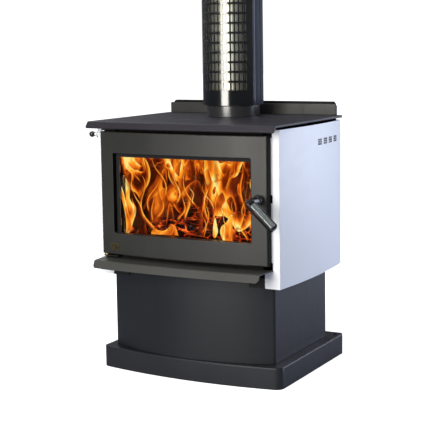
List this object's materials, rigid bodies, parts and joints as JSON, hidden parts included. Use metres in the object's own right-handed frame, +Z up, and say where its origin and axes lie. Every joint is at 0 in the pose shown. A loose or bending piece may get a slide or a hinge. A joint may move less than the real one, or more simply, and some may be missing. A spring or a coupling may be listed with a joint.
{
  "type": "wood burning stove",
  "caption": "Pedestal wood burning stove with a side-hinged glass door, turning latch handle, sliding air control, cooktop plate and slotted flue shield.",
  "frame": {"origin": "on the floor, under the middle of the plinth", "axes": "+Z up, the door faces -Y, +X to the right of someone facing the door"},
  "size_m": [0.7214, 0.5916, 1.29],
  "materials": {
    "plinth_paint": "satin",
    "pedestal_paint": "satin",
    "hidden_steel": "matte",
    "firebox_paint": "matte high-temperature paint",
    "scorched_steel": "heat-darkened",
    "firebrick": "matte, porous",
    "white_enamel": "satin",
    "shelf_paint": "satin metallic",
    "cooktop_paint": "satin",
    "flue_steel": "brushed",
    "shield_paint": "gloss",
    "rail_paint": "satin",
    "zinc_steel": "plated",
    "brass": "machined",
    "door_paint": "satin metallic",
    "door_glass": "clear ceramic glass",
    "gasket": "woven",
    "rope": "woven rope",
    "badge_metal": "dark bronze",
    "grip_black": "satin",
    "grip_insert": "brushed"
  },
  "bodies": {
    "stove": {"floor_plate": "hidden_steel", "base_plinth": "plinth_paint", "pedestal_skin": "pedestal_paint", "pedestal_back": "pedestal_paint", "pedestal_top_plate": "hidden_steel", "lower_rails": "hidden_steel", "ash_shelf": "shelf_paint", "shelf_brackets": "hidden_steel", "firebox_shell": "firebox_paint", "firebox_front": "firebox_paint", "log_retainer": "scorched_steel", "brick_floor": "firebrick", "brick_left": "firebrick", "brick_right": "firebrick", "brick_rear": "firebrick", "baffle_plate": "firebrick", "air_tubes": "scorched_steel", "air_manifold": "scorched_steel", "side_panel_left": "white_enamel", "side_panel_right": "white_enamel", "panel_brackets": "hidden_steel", "rear_panel": "cooktop_paint", "rear_upstand": "cooktop_paint", "top_spacers": "hidden_steel", "top_plate": "cooktop_paint", "flue_spigot": "firebox_paint", "flue_collar": "cooktop_paint", "flue_pipe": "flue_steel", "flue_shield": "shield_paint", "shield_rail_left": "rail_paint", "shield_rail_right": "rail_paint", "shield_brackets": "zinc_steel", "hinge_lugs": "hidden_steel", "hinge_washers": "brass", "latch_catch": "zinc_steel", "rod_guide": "zinc_steel"},
    "air_control": {"air_slide_plate": "zinc_steel", "air_rod": "zinc_steel", "air_knob": "grip_black"},
    "door": {"door_skin": "door_paint", "door_inner_frame": "hidden_steel", "door_glass": "door_glass", "glass_gasket": "gasket", "glass_clips": "zinc_steel", "door_rope_seal": "rope", "hinge_pins": "zinc_steel", "hinge_blocks": "hidden_steel", "handle_bush": "brass", "door_escutcheon": "door_paint", "door_badge": "badge_metal", "door_screws": "zinc_steel"},
    "handle": {"handle_spindle": "zinc_steel", "handle_boss": "grip_black", "handle_arm": "grip_black", "handle_grip": "grip_black", "handle_insert": "grip_insert", "latch_cam": "zinc_steel", "cam_nut": "zinc_steel"}
  },
  "joints": [
    {"name": "door_hinge", "type": "hinge", "parent": "stove", "child": "door", "pos_m": [-0.286, -0.238, 0.572], "axis": [0, 0, -1], "range_deg": [0, 105]},
    {"name": "handle_turn", "type": "hinge", "parent": "door", "child": "handle", "pos_m": [0.267, -0.28, 0.577], "axis": [0, -1, 0], "range_deg": [-48, 42]},
    {"name": "air_slide", "type": "slide", "parent": "stove", "child": "air_control", "axis": [-1, 0, 0], "range_m": [0, 0.04]}
  ]
}
